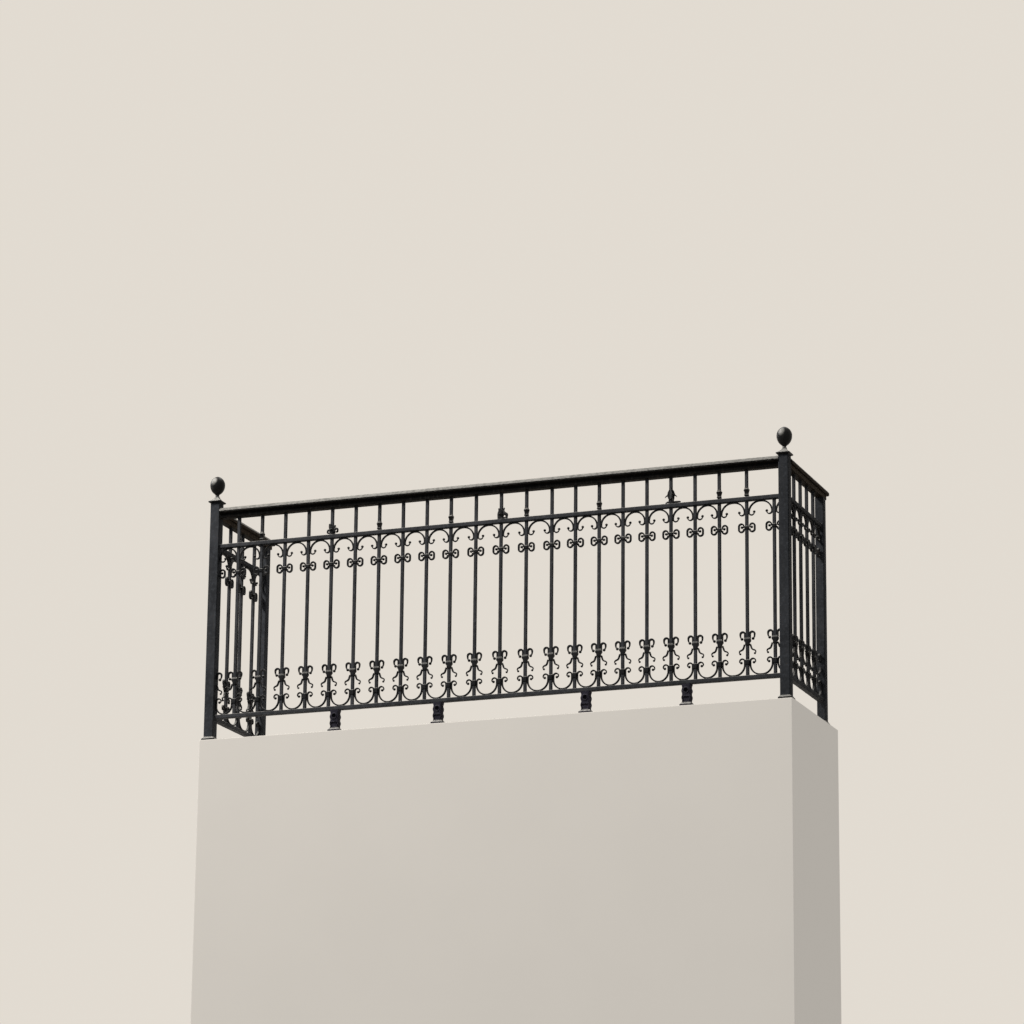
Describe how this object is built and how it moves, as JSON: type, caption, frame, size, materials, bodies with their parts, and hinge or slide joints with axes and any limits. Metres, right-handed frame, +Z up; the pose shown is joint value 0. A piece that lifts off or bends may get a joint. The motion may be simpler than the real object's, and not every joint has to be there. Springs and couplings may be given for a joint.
{
  "type": "wrought-iron balcony railing",
  "caption": "U-shaped wrought-iron balcony railing with moulded handrail, square balusters, scroll work in two bands, cast feet and corner posts with egg finials.",
  "frame": {"origin": "bottom centre of the part's box, on the floor that the base plates stand on", "axes": "+X along the front run, to the right when seen from outside; +Y from the front run towards the wall; +Z up"},
  "size_m": [2.6744, 0.605, 1.191],
  "materials": {
    "iron_paint": "satin paint over forged bar, weathered",
    "handrail_paint": "satin paint, worn and dusty on top",
    "scroll_paint": "satin paint over forged strap, weathered",
    "cast_iron_paint": "painted casting, semi-gloss, weathered"
  },
  "bodies": {
    "root": {"front_left_post": "iron_paint", "front_right_post": "iron_paint", "rear_left_post": "iron_paint", "rear_right_post": "iron_paint", "front_left_base": "cast_iron_paint", "front_right_base": "cast_iron_paint", "rear_left_base": "cast_iron_paint", "rear_right_base": "cast_iron_paint", "left_post_cap": "cast_iron_paint", "right_post_cap": "cast_iron_paint", "left_finial": "cast_iron_paint", "right_finial": "cast_iron_paint", "front_handrail": "handrail_paint", "left_handrail": "handrail_paint", "right_handrail": "handrail_paint", "front_upper_rail": "iron_paint", "left_upper_rail": "iron_paint", "right_upper_rail": "iron_paint", "front_bottom_rail": "iron_paint", "left_bottom_rail": "iron_paint", "right_bottom_rail": "iron_paint", "front_balusters": "iron_paint", "left_balusters": "iron_paint", "right_balusters": "iron_paint", "front_arch_scrolls": "scroll_paint", "left_arch_scrolls": "scroll_paint", "right_arch_scrolls": "scroll_paint", "front_loop_scrolls": "scroll_paint", "left_loop_scrolls": "scroll_paint", "right_loop_scrolls": "scroll_paint", "front_horn_scrolls": "scroll_paint", "left_horn_scrolls": "scroll_paint", "right_horn_scrolls": "scroll_paint", "front_cup_scrolls": "scroll_paint", "left_cup_scrolls": "scroll_paint", "right_cup_scrolls": "scroll_paint", "front_collars": "scroll_paint", "left_collars": "scroll_paint", "right_collars": "scroll_paint", "baluster_knuckles": "cast_iron_paint", "leaf_ornaments": "cast_iron_paint", "rail_feet": "cast_iron_paint"}
  },
  "joints": []
}
